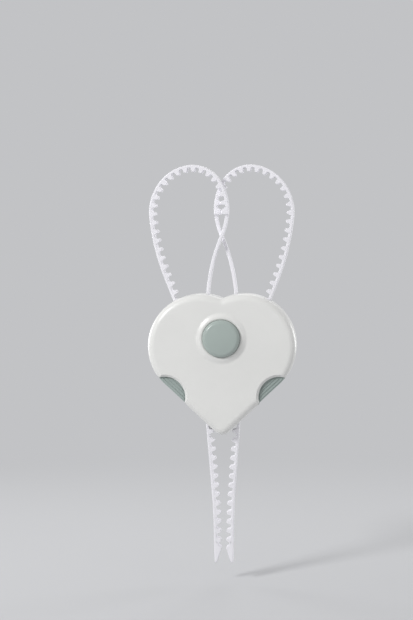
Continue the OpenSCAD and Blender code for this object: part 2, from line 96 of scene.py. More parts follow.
# One tooth as (share of the pitch, share of the height), and how full it is across the strap
TOOTH_LINE = ((0.14, -0.12), (0.17, 0.01), (0.205, 0.05), (0.238, 0.15), (0.265, 0.31), (0.285, 0.47),
              (0.305, 0.63), (0.332, 0.79), (0.37, 0.91), (0.42, 0.98), (0.5, 1.0), (0.58, 0.98),
              (0.63, 0.91), (0.668, 0.79), (0.695, 0.63), (0.715, 0.47), (0.735, 0.31), (0.762, 0.15),
              (0.795, 0.05), (0.83, 0.01), (0.86, -0.12))
TOOTH_SIDES = ((-0.5, 0.0), (-0.485, 0.55), (-0.45, 0.88), (-0.4, 1.0), (0.0, 1.0), (0.4, 1.0), (0.45, 0.88),
               (0.485, 0.55), (0.5, 0.0))
SIDE_LENGTH = 0.94
SIDE_HEIGHT = 0.86

# Places and travels in the case, in millimetres. The window is given by its left, low, right and high sides
SCREW_PLACES = ((-31.0, -3.0), (31.0, -3.0), (0.0, 16.8), (0.0, -46.0))
SCREW_SINK = 0.3
SCOOP_CENTRE = (-31.0, -31.9)
SCOOP_DEPTH = 3.0
PAD_WINDOW = (-44.0, -35.85, -14.1, -19.75)
SLOT_GAP = 0.4
SLOT_RUN = 15.7
EXIT_SLOT = (15.0, 35.0)
CORD_SLOT_FRONT = 13.6
PLATE_BOSS_HEIGHTS = (-7.15, 7.15)
FEED_TRAVEL = 10.0
FLOOR_GAP = 0.6

# Collar round the button: where on its way inwards it is highest, and how far it falls again to the bore
COLLAR_CREST = 0.8
COLLAR_FALL = 0.35

# Steps of curves and of round shapes
SMALL_STEPS = 6
CURVE_STEPS = 12
LOBE_STEPS = 48
SIDE_STEPS = 5
DOME_STEPS = 14
RIM_STEPS = 10
BOSS_STEPS = 32
TURNED_STEPS = 48
FINE_STEPS = 128

# Edge breaks in millimetres, and the angle in degrees from which the centre button's edges are broken
CAP_EDGE = 0.15
CAP_EDGE_ANGLE = 50.0
PAD_EDGE = 0.2
PLATE_EDGE = 0.15

# Turned shapes as (radius, depth) pairs in millimetres
SCREW_SHAPE = ((0, 0.0), (1.55, 0.0), (1.9, 0.12), (2.08, 0.45), (2.1, 1.25), (2.0, 1.4), (1.1, 1.4),
               (1.1, 12.4), (0.7, 13.0), (0, 13.0))
SCREW_HOLE = ((0, -1), (2.4, -1), (2.4, 1.7), (1.4, 1.7), (1.4, 8), (0, 8))
SCREW_BOSS = ((1.4, 1.9), (2.6, 1.9), (2.6, 6.8), (1.4, 6.8))
SPRING_POST = ((0, 1.9), (2.6, 1.9), (2.6, 7.6), (2.2, 8), (0, 8))
CAP_INSIDE = ((11.8, 17.7), (11.8, 16.2), (8.3, 16.2), (8.3, 20.6), (6.0, 20.6), (6.0, 7.0), (4.3, 7.0),
              (4.3, 20.6), (0, 20.6))
PLATE_BOSS = ((0.75, 7.0), (1.6, 7.0), (1.6, 20.7), (0.75, 20.7))
EYELET = ((1.7, 8.5), (2.9, 8.5), (2.9, 11.5), (1.7, 11.5))
RECESS_BARS = ((1.35, 0.3), (0.3, 1.35))
RECESS_DEPTHS = (-1, 0.75)

# Springs: node, coils, radius, wire radius, length, start, turn in degrees, joint that shortens it, fixed end
SPRINGS = (
    ("centre_spring", 9.0, 3.6, 0.3, 18.0, (0, -2.3, 0), (90, 0, 0),
     "centre_press", (0, -2.0, 0)),
    ("left_side_spring", 6.0, 2.25, 0.25, 7.2, (-20.6, -11, -24), (0, 90, 0),
     "left_press", (-13.15, -11, -24)),
    ("right_side_spring", 6.0, 2.25, 0.25, 7.2, (20.6, -11, -24), (0, -90, 0),
     "right_press", (13.15, -11, -24)),
)
SCREW_TURNS = (17, 48, 79, 110)
STEEL_NODES = ("left_anchor_pin", "right_anchor_pin", "left_pawl_pin", "right_pawl_pin", "plate_screws")

# Stage, in metres: lamps by name, place, aim and width. The frame's middle and the button axis are in pixels
LAMPS = (
    ("key", (-0.62, -0.6, 0.45), (0, 0, -0.01), 0.22),
    ("fill", (0.6, -0.5, 0.15), (0, 0, -0.01), 0.5),
    ("back", (0.1, 0.7, 0.5), (0, 0, 0), 0.5),
    ("rim", (-0.55, 0.36, 0.05), (0, 0, 0), 0.3),
    ("rim", (0.55, 0.36, 0.05), (0, 0, 0), 0.3),
)
BACK_SHARE = 3
FRAME_MIDDLE = (206.5, 310.0)
AXIS_PIXEL = (222.6, 337.24)
FLOOR_RADIUS = 6.0
FLOOR_FADE = (0.05, 0.42)


def size(name, default, text):
    return FloatProperty(name=name, description=text, default=default, unit="LENGTH", precision=5)


def angle(name, degrees, text):
    return FloatProperty(name=name, description=text, default=math.radians(degrees), subtype="ANGLE")


def power(name, default, text):
    return FloatProperty(name=name, description=text, default=default, min=0, unit="POWER")


def colour(name, default, text):
    return FloatVectorProperty(name=name, description=text, default=default, subtype="COLOR", size=3,
                               min=0, max=1)


class CaseSizes(PropertyGroup):
    """Sizes of the two covers"""
    lobe_radius: size("Lobe radius", 0.0284, "Radius of each upper lobe")
    lobe_offset: size("Lobe offset", 0.0118, "Distance of a lobe centre from the middle")
    lobe_drop: size("Lobe drop", 0.0046, "Drop of the lobe centres below the button axis")
    tip_radius: size("Tip radius", 0.0053, "Radius of the lower tip")
    tip_drop: size("Tip drop", 0.0472, "Drop of the tip centre below the button axis")
    dip_radius: size("Dip radius", 0.0015, "Radius at the bottom of the dip between the lobes")
    dip_slope: angle("Dip slope", 20.0, "Slope of the sides of the dip")
    thickness: size("Thickness", 0.020, "Thickness of the case from back to front")
    parting: size("Parting", 0.007, "Depth of the parting line from the rear face")
    wall: size("Wall", 0.002, "Wall thickness")
    front_round: size("Front round", 0.004, "Radius of the round along the front edge")
    rear_round: size("Rear round", 0.0013, "Radius of the round along the rear edge")
    groove: size("Parting groove", 0.00018, "Half the width of the parting groove")
    scoop_radius: size("Scoop radius", 0.0112, "Radius of the finger scoops")
    scoop_lip: size("Scoop lip", 0.0013, "Width of the slanted lip of the finger scoops")
    edge: size("Edge break", 0.0003, "Radius of the small rounds along cut edges")


class ButtonSizes(PropertyGroup):
    """Sizes of the release buttons"""
    cap_radius: size("Cap radius", 0.0101, "Radius of the centre button")
    cap_top: size("Cap top", 0.0242, "Depth of the top of the centre button from the rear face")
    cap_round: size("Cap round", 0.0024, "Radius of the round along its rim")
    dome_radius: size("Dome radius", 0.064, "Radius of its shallow dome")
    gap: size("Gap", 0.00011, "Clearance round the centre button")
    collar_radius: size("Collar radius", 0.0142, "Outer radius of the soft collar")
    collar_height: size("Collar height", 0.001, "Height of the soft collar")


class StrapSizes(PropertyGroup):
    """Sizes of the toothed straps"""
    pitch: size("Pitch", 0.005, "Pitch of the teeth")
    tooth_height: size("Tooth height", 0.0024, "Height of a tooth above the spine")
    spine: size("Spine", 0.0015, "Thickness of the spine")
    width: size("Width", 0.005, "Width from front to back")
    cord: size("Cord", 0.0018, "Thickness of the plain cord part")
    cord_width: size("Cord width", 0.003, "Width of the plain cord part")
    corner: size("Corner", 0.0004, "Radius of the long corners")


class FinishColours(PropertyGroup):
    """Colours of the mouldings and the metal"""
    case_white: colour("Case", (0.775, 0.775, 0.757), "Off-white of the covers")
    # The strap colour is white with a faint lilac tint; the tint is a painted reflection of purple
    # surroundings, not the straps' own colour
    strap_white: colour("Strap", (0.86, 0.85, 0.89), "Cool white of the straps")
    centre_grey: colour("Centre button", (0.39, 0.45, 0.425), "Grey green of the centre button")
    side_grey: colour("Side buttons", (0.36, 0.42, 0.40), "Darker grey green of the side buttons")
    inner_cream: colour("Inner mouldings", (0.58, 0.54, 0.45), "Cream of the catch plate and the pawls")
    steel: colour("Steel", (0.52, 0.53, 0.55), "Grey of the screws, pins and springs")


class StageSettings(PropertyGroup):
    """Camera, floor and light"""
    azimuth: angle("Azimuth", 5.24, "Camera's turn to the right")
    elevation: angle("Elevation", 3.0, "Camera's height above the horizon")
    roll: angle("Roll", -0.45, "Camera's roll")
    distance: size("Distance", 0.6776, "Distance of the camera from the middle plane")
    lens_angle: angle("Lens angle", 28.0, "Angle of view over the frame's height")
    sky: FloatProperty(name="Sky", description="Strength of the even light", default=0.59, min=0)
    key: power("Key", 4.9, "Power of the soft key light")
    fill: power("Fill", 0.35, "Power of the fill light")
    rim: power("Rim", 1.6, "Power of each of the two lights behind the sides")
    backdrop: colour("Backdrop", (0.54, 0.545, 0.56), "Pale colour behind the lock")


# Meshes

def new_object(name, mesh):
    made = bpy.data.objects.new(name, mesh)
    bpy.context.scene.collection.objects.link(made)
    return made


def built(bm, name):
    """New object from a mesh under construction, with its faces turned outwards."""
    mesh = bpy.data.meshes.new(name)
    bmesh.ops.recalc_face_normals(bm, faces=bm.faces)
    bm.to_mesh(mesh)
    bm.free()
    return new_object(name, mesh)


def settle(obj):
    """Turns the object with its modifiers into a plain mesh."""
    bpy.context.view_layer.update()
    depsgraph = bpy.context.evaluated_depsgraph_get()
    mesh = bpy.data.meshes.new_from_object(obj.evaluated_get(depsgraph), preserve_all_data_layers=True,
                                           depsgraph=depsgraph)
    obj.modifiers.clear()
    obj.data = mesh
    return obj


def soften(obj, width=0, limit=35.0):
    """Breaks the edges sharper than the limit, where a width is given, and settles the shading."""
    if width > 0:
        bevel = obj.modifiers.new("edge_break", "BEVEL")
        bevel.width = width
        bevel.segments = 2
        bevel.limit_method = "ANGLE"
        bevel.angle_limit = math.radians(limit)
        bevel.use_clamp_overlap = True
        bevel.miter_outer = "MITER_ARC"
    for face in obj.data.polygons:
        face.use_smooth = True
    shade = obj.modifiers.new("shade", "WEIGHTED_NORMAL")
    shade.keep_sharp = True
    shade.weight = 60
    return settle(obj)


def cut(obj, cutters):
    for cutter in cutters:
        difference = obj.modifiers.new("cut", "BOOLEAN")
        difference.operation = "DIFFERENCE"
        difference.solver = "EXACT"
        difference.object = cutter
    settle(obj)
    for cutter in cutters:
        bpy.data.objects.remove(cutter)
    return obj


def join(obj, others):
    """Adds the meshes of the others to the object's own."""
    bm = bmesh.new()
    bm.from_mesh(obj.data)
    for other in others:
        bm.from_mesh(other.data)
        bpy.data.objects.remove(other)
    bm.to_mesh(obj.data)
    bm.free()
    return obj


def finish_of(slot):
    """The scene's own finish for a slot, whose plain name belongs to the frame's material."""
    return bpy.data.materials[slot + FINISH]


def dress(obj, body, slot, node):
    """Gives a finished piece its material and its body, and hides the solid that it stands for."""
    obj.data.materials.clear()
    obj.data.materials.append(finish_of(slot))
    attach(obj, body)
    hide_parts(node)
    return obj


def paint_node(node, material):
    """Gives a solid that stays in view its finish."""
    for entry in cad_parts[node].material_slots:
        entry.link = "OBJECT"
        entry.material = material


def in_metres(points):
    return [(a * MM, b * MM) for a, b in points]


def at_depth(point, depth):
    """A place in the frame from X and Z in the front plane and the depth in front of the rear face."""
    return Vector((point[0], -depth, point[1]))


def bridge(bm, rings, closed=True):
    """Joins rings of as many vertices each with quads."""
    count = len(rings[0])
    for low, high in zip(rings, rings[1:]):
        for i in range(count if closed else count - 1):
            j = (i + 1) % count
            bm.faces.new((low[i], low[j], high[j], high[i]))


def ring_edges(bm, ring):
    return [bm.edges.get((a, b)) or bm.edges.new((a, b)) for a, b in zip(ring, ring[1:] + ring[:1])]


def circle(bm, centre, radius, depth, steps):
    turns = [2 * math.pi * i / steps for i in range(steps)]
    return [bm.verts.new(at_depth((centre[0] + radius * math.cos(turn), centre[1] + radius * math.sin(turn)),
                                  depth)) for turn in turns]


def lathe(name, centre, profile, steps=TURNED_STEPS):
    """Closed solid about the depth axis through centre, from (radius, depth) pairs in metres."""
    bm = bmesh.new()
    rings = [circle(bm, centre, radius, depth, steps if radius > 0 else 1) for radius, depth in profile]
    if len(rings[0]) > 1:
        rings.append(rings[0])
    for low, high in zip(rings, rings[1:]):
        if len(low) == len(high):
            bridge(bm, [low, high])
            continue
        for i in range(steps):
            j = (i + 1) % steps
            bm.faces.new((high[j], high[i], low[0]) if len(low) == 1 else (low[i], low[j], high[0]))
    return built(bm, name)


def prism(name, outline, back, front):
    """Straight block over an outline of (x, z) points, between two depths."""
    bm = bmesh.new()
    low = [bm.verts.new(at_depth(p, back)) for p in outline]
    high = [bm.verts.new(at_depth(p, front)) for p in outline]
    bm.faces.new(low)
    bm.faces.new(list(reversed(high)))
    bridge(bm, [low, high])
    return built(bm, name)


def mirrored(points):
    return [(-x, z) for x, z in reversed(points)]


def handed(obj, side):
    """Mirrors a mesh that was made for the left side where it is for the right."""
    if side == "right":
        obj.data.transform(Matrix.Scale(-1, 4, (1, 0, 0)))
        obj.data.flip_normals()
    return obj


def soft_copy(node, width):
    """Copy of a solid's mesh, merged and with its edges broken."""
    bm = bmesh.new()
    bm.from_mesh(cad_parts[node].data)
    bmesh.ops.remove_doubles(bm, verts=bm.verts, dist=1e-6)
    bmesh.ops.dissolve_limit(bm, angle_limit=math.radians(1), verts=bm.verts, edges=bm.edges)
    return soften(built(bm, node + DRESSED), width)


# Outlines and routes

def arc(centre, radius, first, last, steps):
    """Points of an arc with their outward normals, from one angle to another."""
    made = []
    for i in range(steps + 1):
        turn = first + (last - first) * i / steps
        out = Vector((math.cos(turn), math.sin(turn)))
        made.append((centre + radius * out, out))
    return made


def straight(first, last, out, steps):
    """Points between two ends, which it leaves out, with the outward normal."""
    return [(first.lerp(last, i / steps), out) for i in range(1, steps)]


def heart_line(case):
    """Points of the heart outline with their outward normals, all the way round from the dip."""
    big, small, dip = case.lobe_radius, case.tip_radius, case.dip_radius
    lobe = Vector((case.lobe_offset, -case.lobe_drop))
    tip = Vector((0, -case.tip_drop))
    lean = math.pi / 2 + case.dip_slope
    side = Vector((math.cos(lean), math.sin(lean)))
    dip_centre = Vector((0, (lobe.dot(side) + big + dip) / side.y))
    span = tip - lobe
    flank = math.atan2(span.y, span.x) + math.acos((big - small) / span.length)
    half = arc(dip_centre, -dip, math.pi / 2, lean, SMALL_STEPS)
    half += straight(half[-1][0], lobe + big * side, side, SIDE_STEPS)
    half += arc(lobe, big, lean, flank, LOBE_STEPS)
    out = Vector((math.cos(flank), math.sin(flank)))
    half += straight(lobe + big * out, tip + small * out, out, CURVE_STEPS)
    half += arc(tip, small, flank, -math.pi / 2, CURVE_STEPS)
    return half + [(Vector((-p.x, p.y)), Vector((-n.x, n.y))) for p, n in reversed(half[1:-1])]


def heart_rings(bm, line, plan):
    """Rings of vertices along the heart outline, one for each (inset, depth) pair."""
    return [[bm.verts.new(at_depth((p.x - inset * n.x, p.y - inset * n.y), depth)) for p, n in line]
            for inset, depth in plan]


def quarter(steps):
    """Angles from 0 to a quarter turn."""
    return [math.pi / 2 * i / steps for i in range(steps + 1)]


def legs_of_loop():
    bend = ENTRY_SLANT - TAIL_SLANT
    legs = [(GUIDE_RADIUS * math.radians(bend), bend), (ENTRY_RUN, 0.0)]
    return legs + [(LOOP_RADIUS * share * math.radians(abs(turn)), turn) for share, turn in LOOP_BENDS]


def spot(start, legs, along):
    """Place and heading at a distance along a route of arcs and straights, in millimetres and degrees."""
    x, z, heading = start
    for number, (length, turn) in enumerate(legs):
        part = along if along < length or number == len(legs) - 1 else length
        bend = turn * part / length
        chord = part if abs(bend) < 1e-6 else part * math.sin(math.radians(bend / 2)) * 2 / math.radians(bend)
        way = math.radians(heading + bend / 2)
        x, z, heading = x + chord * math.cos(way), z + chord * math.sin(way), heading + bend
        along -= part
        if along <= 0 and part < length:
            break
    return x, z, heading


def beside(start, legs, along, right):
    x, z, heading = spot(start, legs, along)
    way = math.radians(heading)
    return x + right * math.sin(way), z - right * math.cos(way)


LOOP_ROUTE = ((*SPLIT, 90.0 + TAIL_SLANT), legs_of_loop())
TAIL_ROUTE = ((*SPLIT, TAIL_SLANT - 90.0), TAIL_LEGS)
LOOP_LENGTH = sum(length for length, turn in LOOP_ROUTE[1])
TAIL_LENGTH = sum(length for length, turn in TAIL_LEGS)
RUN_START = LOOP_ROUTE[1][0][0]


def run_spot():
    """Start and direction of the straight run that goes into the case."""
    x, z, heading = spot(*LOOP_ROUTE, RUN_START)
    way = math.radians(90 + ENTRY_SLANT)
    return Vector((x, z)), Vector((math.cos(way), math.sin(way)))


def first_gap(pitch):
    """Distance along the loop of the first gap, which the catch plate needs in step with the button axis."""
    place, way = run_spot()
    nearest = RUN_START - place.dot(way)
    return nearest - pitch * math.floor(nearest / pitch)


def loop_turn(sizes, side):
    """The lean of a loop about its straight run, which lets the two straps cross without touching."""
    place, way = run_spot()
    block = first_gap(sizes.pitch / MM) + LOOP_TEETH * sizes.pitch / MM
    far = Vector(beside(*LOOP_ROUTE, block, (sizes.spine + sizes.tooth_height) / MM))
    slant = math.radians(ENTRY_SLANT)
    reach = (far.x - place.x) * math.cos(slant) + (far.y - place.y) * math.sin(slant)
    lean = math.asin((sizes.width / MM + CROSS_GAP) / 2 / reach)
    pivot = Matrix.Translation((place.x * MM, -STRAP_DEPTH * MM, place.y * MM))
    return pivot @ Matrix.Rotation(side * lean, 4, (way.x, 0, way.y)) @ pivot.inverted()


# Shader nodes

def wire(tree, *links):
    """Makes links, each given as a node, its output, another node and that one's input."""
    for source, output, target, entry in links:
        tree.links.new(source.outputs[output], target.inputs[entry])


def add(tree, kind, **values):
    """New node with the given values in its inputs, whose names have _ for a space."""
    node = tree.nodes.new(kind)
    for label, value in values.items():
        node.inputs[label.replace("_", " ")].default_value = value
    return node


def grain_group():
    """Moulding grain: a fine texture, slow cloudiness and faint flow marks."""
    group = bpy.data.node_groups.new("moulding_grain", "ShaderNodeTree")
    face = group.interface
    for name, default, highest in (("Grain Size", 900.0, 5000.0), ("Cloud Size", 60.0, 500.0),
                                   ("Roughness", 0.4, 1.0), ("Roughness Spread", 0.1, 1.0),
                                   ("Flow", 0.3, 1.0)):
        socket = face.new_socket(name=name, in_out="INPUT", socket_type="NodeSocketFloat")
        socket.default_value, socket.min_value, socket.max_value = default, 0.0, highest
    for name in ("Cloud", "Roughness", "Height"):
        face.new_socket(name=name, in_out="OUTPUT", socket_type="NodeSocketFloat")
    given, result = add(group, "NodeGroupInput"), add(group, "NodeGroupOutput")
    place = add(group, "ShaderNodeTexCoord")
    fine = add(group, "ShaderNodeTexNoise", Detail=4)
    cloud = add(group, "ShaderNodeTexNoise", Detail=3)
    flow = add(group, "ShaderNodeTexNoise", Detail=2, Distortion=1.2)
    stretch = add(group, "ShaderNodeMapping", Scale=(0.35, 1.0, 1.0))
    mix = add(group, "ShaderNodeMix")
    spread = add(group, "ShaderNodeMapRange", From_Min=0.3, From_Max=0.7)
    wave = add(group, "ShaderNodeMath")
    wave.operation = "MULTIPLY_ADD"
    wire(group,
         (place, "Object", fine, "Vector"), (place, "Object", cloud, "Vector"),
         (place, "Object", stretch, "Vector"), (stretch, "Vector", flow, "Vector"),
         (given, "Grain Size", fine, "Scale"), (given, "Cloud Size", cloud, "Scale"),
         (given, "Cloud Size", flow, "Scale"), (given, "Flow", mix, "Factor"),
         (cloud, "Fac", mix, "A"), (flow, "Fac", mix, "B"), (mix, "Result", spread, "Value"),
         (spread, "Result", result, "Cloud"), (spread, "Result", wave, 0),
         (given, "Roughness Spread", wave, 1), (given, "Roughness", wave, 2),
         (wave, "Value", result, "Roughness"), (fine, "Fac", result, "Height"))
    return group


def moulded(slot, tone, grain, shade, roughness=0.42, spread=0.1, grain_size=1500.0, cloud=45.0, bump=0.06):
    """Satin moulded plastic with the shared grain, and with slow clouds of its tone times shade."""
    material = bpy.data.materials.new(slot + FINISH)
    material.use_nodes = True
    tree = material.node_tree
    shader = tree.nodes["Principled BSDF"]
    shader.inputs["IOR"].default_value = 1.49
    group = tree.nodes.new("ShaderNodeGroup")
    group.node_tree = grain
    for label, value in (("Grain Size", grain_size), ("Cloud Size", cloud), ("Roughness", roughness),
                         ("Roughness Spread", spread)):
        group.inputs[label].default_value = value
    tint = tree.nodes.new("ShaderNodeMix")
    tint.data_type = "RGBA"
    tint.inputs["A"].default_value = (*[c * shade for c in tone], 1)
    tint.inputs["B"].default_value = (*tone, 1)
    relief = add(tree, "ShaderNodeBump", Strength=bump, Distance=0.0003)
    wire(tree, (group, "Cloud", tint, "Factor"), (tint, "Result", shader, "Base Color"),
         (group, "Roughness", shader, "Roughness"), (group, "Height", relief, "Height"),
         (relief, "Normal", shader, "Normal"))
    return material


def metal(slot, tone, grain):
    """Plated steel with fine scratches in its roughness."""
    material = moulded(slot, tone, grain, shade=0.8, roughness=0.24, spread=0.18, grain_size=3000.0,
                       cloud=400.0, bump=0.04)
    material.node_tree.nodes["Principled BSDF"].inputs["Metallic"].default_value = 1.0


# Geometry node trees

def node_tree(name, sizes):
    """Empty geometry tree with a geometry input, named sizes, a form and a material."""
    tree = bpy.data.node_groups.new(name, "GeometryNodeTree")
    face = tree.interface
    face.new_socket(name="Geometry", in_out="INPUT", socket_type="NodeSocketGeometry")
    for label, default in sizes.items():
        face.new_socket(name=label, in_out="INPUT", socket_type="NodeSocketFloat").default_value = default
    face.new_socket(name="Form", in_out="INPUT", socket_type="NodeSocketObject")
    face.new_socket(name="Material", in_out="INPUT", socket_type="NodeSocketMaterial")
    face.new_socket(name="Geometry", in_out="OUTPUT", socket_type="NodeSocketGeometry")
    return tree, tree.nodes.new("NodeGroupInput")


def close_tree(tree, given, source, output):
    """Ends the tree with real geometry in its material."""
    realize, paint = add(tree, "GeometryNodeRealizeInstances"), add(tree, "GeometryNodeSetMaterial")
    result = add(tree, "NodeGroupOutput")
    wire(tree, (source, output, realize, "Geometry"), (realize, "Geometry", paint, "Geometry"),
         (given, "Material", paint, "Material"), (paint, "Geometry", result, "Geometry"))
    return tree


def repeat_tree():
    """A form set on each point, turned by the point's own turn and scaled to the named sizes."""
    tree, given = node_tree("repeat_on_points", {"Length": 1.0, "Width": 1.0, "Height": 1.0})
    on_points, form = add(tree, "GeometryNodeInstanceOnPoints"), add(tree, "GeometryNodeObjectInfo")
    turn = add(tree, "GeometryNodeInputNamedAttribute", Name="turn")
    turn.data_type = "FLOAT_VECTOR"
    rotation, scale = add(tree, "FunctionNodeEulerToRotation"), add(tree, "ShaderNodeCombineXYZ")
    wire(tree, (given, "Geometry", on_points, "Points"), (given, "Form", form, "Object"),
         (form, "Geometry", on_points, "Instance"), (turn, "Attribute", rotation, "Euler"),
         (rotation, "Rotation", on_points, "Rotation"), (given, "Length", scale, "X"),
         (given, "Width", scale, "Y"), (given, "Height", scale, "Z"), (scale, "Vector", on_points, "Scale"))
    return close_tree(tree, given, on_points, "Instances")


def coil_tree():
    """Helical spring along Z of round wire."""
    tree, given = node_tree("coil", {"Coils": 9.0, "Radius": 0.004, "Wire": 0.0003, "Length": 0.02})
    spiral = add(tree, "GeometryNodeCurveSpiral", Resolution=40)
    ring = add(tree, "GeometryNodeCurvePrimitiveCircle", Resolution=12)
    tube = add(tree, "GeometryNodeCurveToMesh", Fill_Caps=True)
    wire(tree, (given, "Coils", spiral, "Rotations"), (given, "Radius", spiral, "Start Radius"),
         (given, "Radius", spiral, "End Radius"), (given, "Length", spiral, "Height"),
         (given, "Wire", ring, "Radius"), (spiral, "Curve", tube, "Curve"),
         (ring, "Curve", tube, "Profile Curve"))
    return close_tree(tree, given, tube, "Mesh")


def grow(obj, tree, material, form=None, **values):
    """Runs a geometry tree on the object and keeps its result as a plain mesh."""
    modifier = obj.modifiers.new("grow", "NODES")
    modifier.node_group = tree
    sockets = {item.name: item.identifier for item in tree.interface.items_tree
               if item.item_type == "SOCKET" and item.in_out == "INPUT"}
    values["Material"] = material
    if form:
        values["Form"] = form
    for label, value in values.items():
        modifier[sockets[label]] = value
    return settle(obj)


def points_object(name, places, turns):
    """Bare points with the turn of each as an attribute."""
    mesh = bpy.data.meshes.new(name)
    mesh.from_pydata(places, [], [])
    turn = mesh.attributes.new("turn", "FLOAT_VECTOR", "POINT")
    for i, value in enumerate(turns):
        turn.data[i].vector = value
    return new_object(name, mesh)


# Covers

def front_shell(case, buttons):
    """Front cover as one closed shell: rounded edge, soft collar, bore and inner cavity."""
    line = heart_line(case)
    bm = bmesh.new()
    start = case.parting + case.groove
    bend = case.thickness - case.front_round
    outer = [(case.groove, start), (0, start + case.groove)]
    outer += [(case.front_round * (1 - math.cos(turn)), bend + case.front_round * math.sin(turn))
              for turn in quarter(CURVE_STEPS)]
    outer = heart_rings(bm, line, outer)
    inner = heart_rings(bm, line, [(case.wall, start), (case.wall, case.thickness - case.wall)])
    bridge(bm, [inner[0]] + outer)
    bridge(bm, inner)
    bore = buttons.cap_radius + buttons.gap
    collar = []
    for i in range(CURVE_STEPS + 1):
        share = i / CURVE_STEPS
        if share < COLLAR_CREST:
            height = 0.5 - 0.5 * math.cos(math.pi * share / COLLAR_CREST)
        else:
            height = 1 - COLLAR_FALL * ((share - COLLAR_CREST) / (1 - COLLAR_CREST)) ** 2
        radius = buttons.collar_radius - (buttons.collar_radius - bore) * share
        collar.append(circle(bm, (0, 0), radius, case.thickness + buttons.collar_height * height, FINE_STEPS))
    collar.append(circle(bm, (0, 0), bore, case.thickness - case.wall, FINE_STEPS))
    bridge(bm, collar)
    for edge, hole in ((outer[-1], collar[0]), (inner[-1], collar[-1])):
        bmesh.ops.triangle_fill(bm, edges=ring_edges(bm, edge) + ring_edges(bm, hole), use_beauty=True)
    return built(bm, "front_cover" + DRESSED)


def rear_shell(case):
    """Rear cover as an open tray with a rounded rear edge."""
    bm = bmesh.new()
    end = case.parting - case.groove
    plan = [(case.rear_round * (1 - math.sin(turn)), case.rear_round * (1 - math.cos(turn)))
            for turn in quarter(SMALL_STEPS)]
    plan += [(0, end - case.groove), (case.groove, end), (case.wall, end), (case.wall, case.wall)]
    rings = heart_rings(bm, heart_line(case), plan)
    bridge(bm, rings)
    bm.faces.new(rings[0])
    bm.faces.new(rings[-1])
    return built(bm, "rear_cover" + DRESSED)


def scoop_cutters(case):
    """Finger scoops with a slanted lip, and the windows behind them."""
    radius, front, lip = case.scoop_radius, case.thickness, case.scoop_lip
    floor = front - SCOOP_DEPTH * MM
    profile = [(0, floor), (radius, floor), (radius, front - lip), (radius + lip + MM, front + MM),
               (0, front + MM)]
    (x, z), = in_metres([SCOOP_CENTRE])
    left, low, right, high = PAD_WINDOW
    window = in_metres([(left, low), (right, low), (right, high), (left, high)])
    made = []
    for centre, outline in (((x, z), window), ((-x, z), mirrored(window))):
        made.append(lathe("scoop", centre, profile, FINE_STEPS))
        made.append(prism("window", outline, case.parting - MM, front - case.wall))
    return made


def slot_cutters(case, straps):
    """Slots through the rim for the straps and the cords, between two sides of each route."""
    thick, cord = (straps.spine + straps.tooth_height) / MM, straps.cord / MM
    entry = RUN_START + ENTRY_RUN
    front = STRAP_DEPTH + straps.width / 2 / MM + SLOT_GAP
    plans = ((LOOP_ROUTE, entry - SLOT_RUN, entry, -SLOT_GAP, thick + SLOT_GAP, front),
             (LOOP_ROUTE, LOOP_LENGTH - SLOT_RUN, LOOP_LENGTH, -SLOT_GAP, cord + SLOT_GAP, CORD_SLOT_FRONT),
             (TAIL_ROUTE, *EXIT_SLOT, SLOT_GAP, -thick - SLOT_GAP, front))
    made = []
    for route, first, last, near, far, depth in plans:
        steps = [first + (last - first) * i / CURVE_STEPS for i in range(CURVE_STEPS + 1)]
        outline = [beside(*route, s, near) for s in steps]
        outline = in_metres(outline + [beside(*route, s, far) for s in reversed(steps)])
        for points in (outline, mirrored(outline)):
            made.append(prism("slot", points, case.parting - MM, depth * MM))
    return made


def at_screws(name, shape):
    """The same turned shape at each cover screw's place."""
    return [lathe(name, place, in_metres(shape)) for place in in_metres(SCREW_PLACES)]


def screw_form():
    """Pan head screw about the depth axis, with a cross recess at its back."""
    head = lathe("screw_form", (0, 0), in_metres(SCREW_SHAPE))
    back, front = RECESS_DEPTHS
    bars = []
    for wide, tall in RECESS_BARS:
        outline = in_metres([(-wide, -tall), (wide, -tall), (wide, tall), (-wide, tall)])
        bars.append(prism("recess", outline, back * MM, front * MM))
    return cut(head, bars)


class LOCK_OT_finishes(Operator):
    """Makes the plastic and metal finishes"""
    bl_idname = "safety_lock.finishes"
    bl_label = "Finishes"

    def execute(self, context):
        colours = context.scene.lock_colours
        grain = grain_group()
        moulded("case_white", colours.case_white, grain, shade=0.965, roughness=0.27, spread=0.08)
        # Strap finish: white with a lilac tint that is a painted reflection of purple surroundings
        moulded("strap_white", colours.strap_white, grain, shade=0.95, roughness=0.32, spread=0.05, bump=0.03,
                grain_size=900.0, cloud=90.0)
        moulded("button_grey", colours.centre_grey, grain, shade=0.93, roughness=0.22, spread=0.06)
        moulded("side_grey", colours.side_grey, grain, shade=0.92, bump=0.1)
        moulded("inner_acetal", colours.inner_cream, grain, shade=0.93, roughness=0.36, spread=0.08)
        metal("steel", colours.steel, grain)
        return {"FINISHED"}


class LOCK_OT_covers(Operator):
    """Makes the front and rear covers"""
    bl_idname = "safety_lock.covers"
    bl_label = "Covers"

    def execute(self, context):
        case, buttons, straps = context.scene.lock_case, context.scene.lock_buttons, context.scene.lock_straps
        front = cut(front_shell(case, buttons), scoop_cutters(case) + slot_cutters(case, straps))
        dress(soften(front, case.edge), "housing", "case_white", "front_cover")
        rear = cut(rear_shell(case), at_screws("screw_hole", SCREW_HOLE))
        join(rear, at_screws("boss", SCREW_BOSS) + [lathe("spring_post", (0, 0), in_metres(SPRING_POST))])
        dress(soften(rear, case.edge), "housing", "case_white", "rear_cover")
        return {"FINISHED"}


